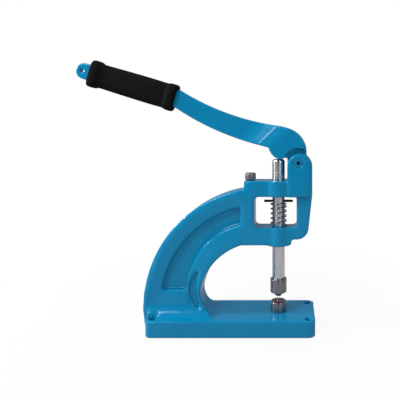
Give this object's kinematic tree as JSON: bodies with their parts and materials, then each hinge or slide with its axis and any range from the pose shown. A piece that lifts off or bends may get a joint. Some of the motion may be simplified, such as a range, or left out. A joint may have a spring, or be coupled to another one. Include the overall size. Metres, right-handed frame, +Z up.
{
  "type": "hand eyelet press",
  "caption": "Bench hand press for eyelets: C-shaped cast frame on a flat base, cam lever with foam grip, sprung ram and a pair of round dies.",
  "frame": {"origin": "centre of the base's underside", "axes": "+Z up along the ram, +X from the arch towards the nose of the head, +Y to the rear"},
  "size_m": [0.2845, 0.06, 0.3186],
  "materials": {
    "blue_enamel": "glossy enamel on cast iron",
    "ram_steel": "ground bright",
    "die_steel": "turned, slightly darkened",
    "screw_steel": "browned",
    "black_steel": "black oxide",
    "spring_steel": "drawn wire",
    "foam_grip": "matt black foam"
  },
  "bodies": {
    "frame": {"frame_casting": "blue_enamel", "pivot_pin": "blue_enamel", "stop_screw": "screw_steel", "lower_die": "die_steel", "lower_die_set_screw": "black_steel", "ram_spring": "spring_steel"},
    "lever": {"lever": "blue_enamel", "lever_grip": "foam_grip"},
    "ram": {"ram": "ram_steel", "spring_cross_pin": "black_steel", "upper_die": "die_steel", "upper_die_set_screw": "black_steel"}
  },
  "joints": [
    {"name": "lever_pivot", "type": "hinge", "parent": "frame", "child": "lever", "pos_m": [0.0777, 0, 0.1964], "axis": [0, -1, 0], "range_deg": [-11.5, 27]},
    {"name": "ram_slide", "type": "slide", "parent": "frame", "child": "ram", "axis": [0, 0, -1], "range_m": [-0.0046, 0.0107], "stiffness_N_per_m": 4400, "springref_m": -0.00613, "deforming": ["ram_spring"]}
  ],
  "couplings": [
    {"joint": "ram_slide", "follows": "lever_pivot", "m_per_rad": 0.022669}
  ]
}
